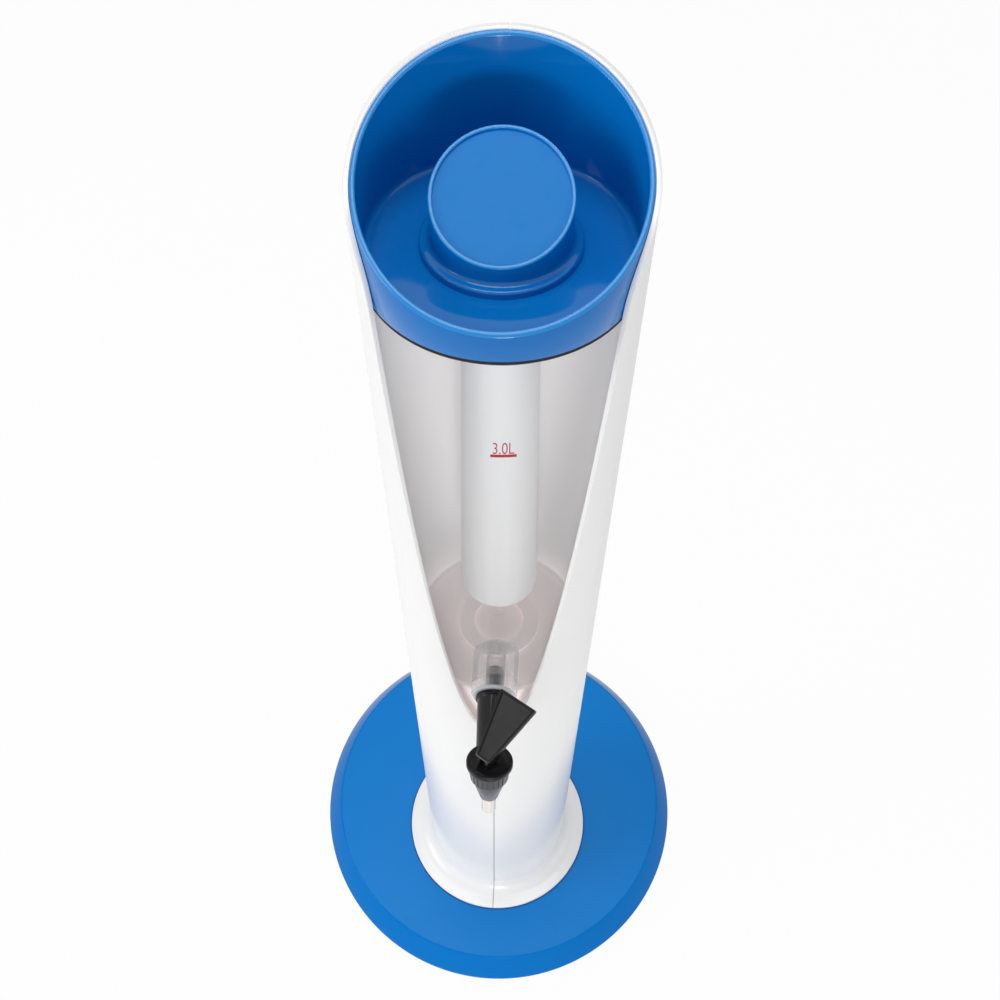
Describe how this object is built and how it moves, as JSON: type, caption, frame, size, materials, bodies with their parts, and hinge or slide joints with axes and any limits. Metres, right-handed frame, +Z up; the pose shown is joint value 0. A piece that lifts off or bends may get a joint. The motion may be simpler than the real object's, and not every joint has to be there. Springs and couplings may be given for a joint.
{
  "type": "beverage tower",
  "caption": "Tall drink dispenser: clear reservoir in a split casing on a wide round base, slanted lid with a stopper, hanging ice tube, and a tap with a swivelling flip lever.",
  "frame": {"origin": "on the table, at the centre of the base disc", "axes": "+Z up along the tower, -Y towards the tap at the front, +X to the right seen from the front"},
  "size_m": [0.372, 0.372, 0.8758],
  "materials": {
    "blue_plastic": "glossy with a fine texture on the top faces",
    "white_plastic": "glossy",
    "clear_plastic": "clear acrylic",
    "smoky_plastic": "smoky clear",
    "frosted_plastic": "frosted white",
    "grey_plastic": "matte warm grey",
    "dark_plastic": "matte black",
    "black_plastic": "glossy black",
    "black_rubber": "matte",
    "silicone": "milky, satin",
    "steel": "satin"
  },
  "bodies": {
    "tower": {"base_disc": "blue_plastic", "base_cover": "dark_plastic", "foot_1": "black_rubber", "foot_2": "black_rubber", "foot_3": "black_rubber", "foot_4": "black_rubber", "cover_screw_1": "steel", "cover_screw_2": "steel", "cover_screw_3": "steel", "cover_screw_4": "steel", "shell_screw_1": "steel", "shell_screw_2": "steel", "shell_screw_3": "steel", "shell_screw_4": "steel", "column_screw_1": "steel", "column_screw_2": "steel", "column_screw_3": "steel", "shell_left": "white_plastic", "shell_right": "white_plastic", "support_column": "grey_plastic", "seat_pad": "silicone", "reservoir": "clear_plastic", "tap_washer": "silicone", "tap_body": "black_plastic", "outlet_cone": "smoky_plastic", "nozzle": "clear_plastic"},
    "lid": {"lid": "blue_plastic", "lid_collar": "blue_plastic", "lid_gasket": "black_rubber", "ice_socket": "blue_plastic", "ice_tube": "frosted_plastic", "ice_tube_seal": "black_rubber"},
    "knob": {"knob": "blue_plastic", "knob_base": "blue_plastic", "knob_seal": "black_rubber"},
    "bonnet": {"tap_bonnet": "black_plastic"},
    "stem": {"valve_stem": "steel", "seat_cup": "silicone", "lever_pin": "steel"},
    "lever": {"tap_lever": "black_plastic"}
  },
  "joints": [
    {"name": "lid_lift", "type": "slide", "parent": "tower", "child": "lid", "axis": [0, 0, 1], "range_m": [0, 0.29]},
    {"name": "knob_lift", "type": "slide", "parent": "lid", "child": "knob", "axis": [0, 0, 1], "range_m": [0, 0.03]},
    {"name": "bonnet_swivel", "type": "hinge", "parent": "tower", "child": "bonnet", "pos_m": [0, -0.1588, 0.4735], "axis": [0, 0.3256, 0.9455], "range_deg": [-51, 129]},
    {"name": "stem_lift", "type": "slide", "parent": "bonnet", "child": "stem", "axis": [0, 0.3256, 0.9455], "range_m": [0, 0.0025]},
    {"name": "lever_flip", "type": "hinge", "parent": "stem", "child": "lever", "pos_m": [0, -0.1517, 0.49411], "axis": [0.7771, -0.595, 0.2049], "range_deg": [0, 65]}
  ],
  "couplings": [
    {"joint": "stem_lift", "follows": "lever_flip", "m_per_rad": 0.0022}
  ]
}
